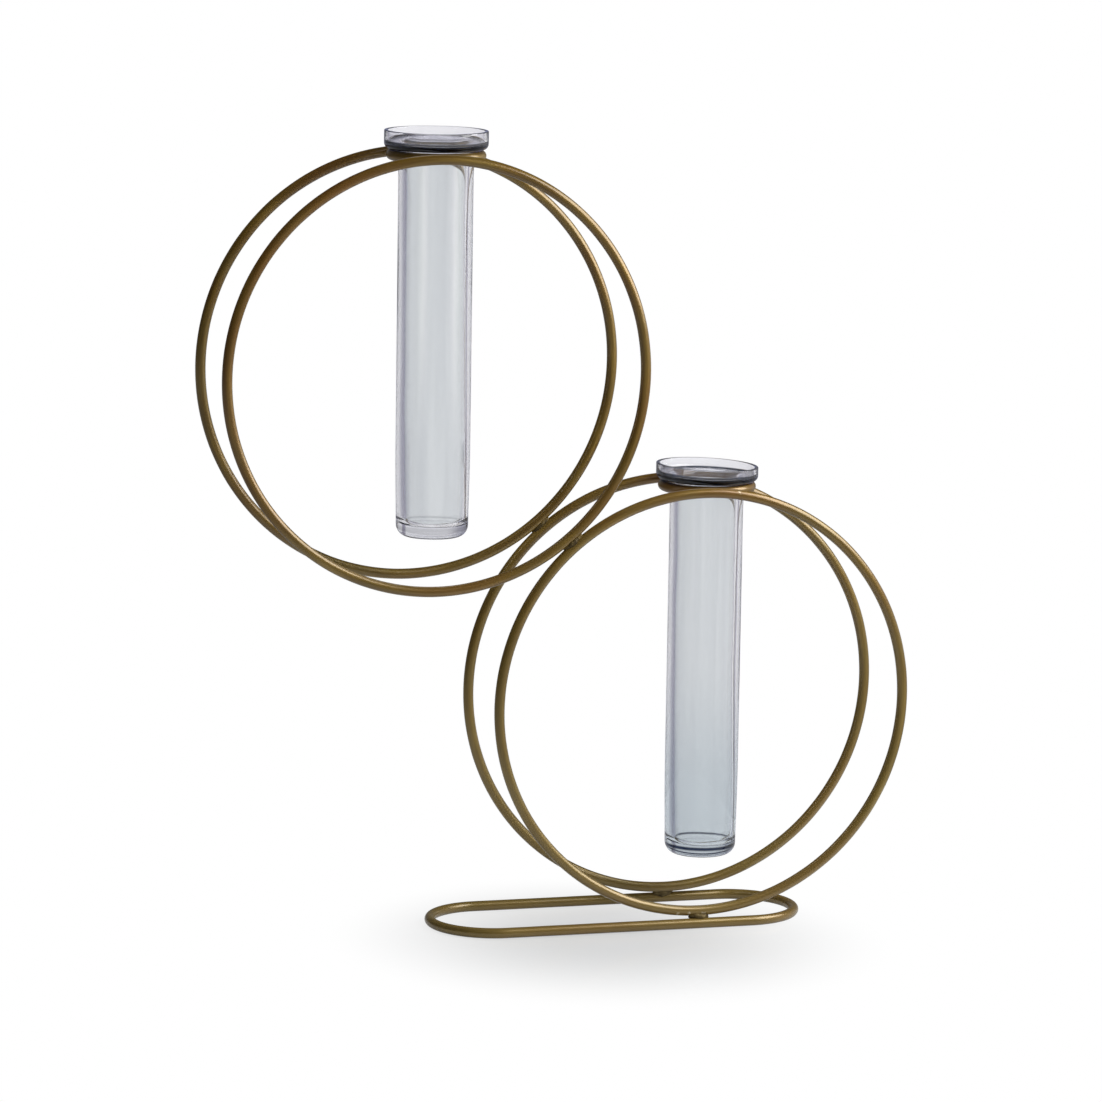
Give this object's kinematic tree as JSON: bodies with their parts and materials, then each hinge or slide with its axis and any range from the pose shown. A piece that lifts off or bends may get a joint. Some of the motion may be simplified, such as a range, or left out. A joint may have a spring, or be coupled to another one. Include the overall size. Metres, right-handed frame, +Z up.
{
  "type": "test tube vase",
  "caption": "Free-standing bud vase: antique brass wire hoops stacked on an oblong wire base, with lift-out glass test tubes hung in small wire collars.",
  "frame": {"origin": "on the table under the middle of the object's box", "axes": "+Z up; the hoops face -Y, the front; the upper hoops are towards -X"},
  "size_m": [0.2424, 0.0444, 0.2711],
  "materials": {
    "antique_brass": "antique brass, drawn and rubbed back, with a dark patina",
    "braze": "rough braze, filed and patinated",
    "smoky_glass": "clear glass with a faint smoky lavender tint"
  },
  "bodies": {
    "stand": {"base_loop": "antique_brass", "lower_front_hoop": "antique_brass", "lower_back_hoop": "antique_brass", "upper_front_hoop": "antique_brass", "upper_back_hoop": "antique_brass", "lower_collar": "antique_brass", "upper_collar": "antique_brass", "base_bead_front": "braze", "hoop_bead_front": "braze", "lower_collar_bead_front": "braze", "upper_collar_bead_front": "braze", "base_bead_back": "braze", "hoop_bead_back": "braze", "lower_collar_bead_back": "braze", "upper_collar_bead_back": "braze"},
    "lower_tube_body": {"lower_tube": "smoky_glass"},
    "upper_tube_body": {"upper_tube": "smoky_glass"}
  },
  "joints": [
    {"name": "lower_tube_lift", "type": "slide", "parent": "stand", "child": "lower_tube_body", "axis": [0, 0, 1], "range_m": [0, 0.14]},
    {"name": "upper_tube_lift", "type": "slide", "parent": "stand", "child": "upper_tube_body", "axis": [0, 0, 1], "range_m": [0, 0.14]}
  ]
}
